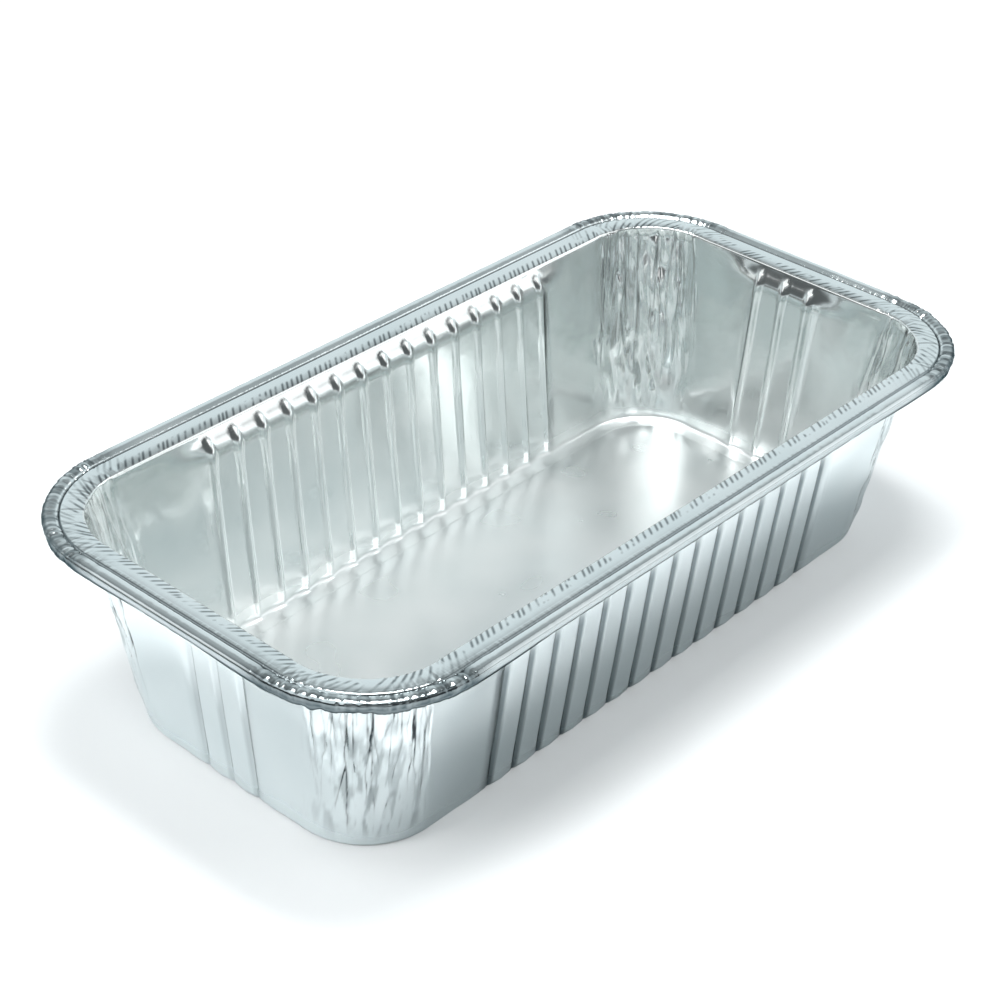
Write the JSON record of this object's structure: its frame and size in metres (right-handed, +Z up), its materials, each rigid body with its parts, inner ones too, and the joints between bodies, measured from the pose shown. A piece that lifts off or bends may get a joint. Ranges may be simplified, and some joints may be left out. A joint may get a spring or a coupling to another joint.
{
  "type": "foil grease tray liner",
  "caption": "Rectangular pressed foil tray liner with round corners, leaning grooved walls, a raised base panel and a flat flange with a rolled rim.",
  "frame": {"origin": "middle of the resting face, under the centre of the rim outline", "axes": "+X along the length, +Y across the width, +Z up from the resting face to the rim"},
  "size_m": [0.3052, 0.1588, 0.0738],
  "materials": {
    "foil": "bright rolled foil with fine creases"
  },
  "bodies": {
    "root": {"foil_liner": "foil"}
  },
  "joints": []
}
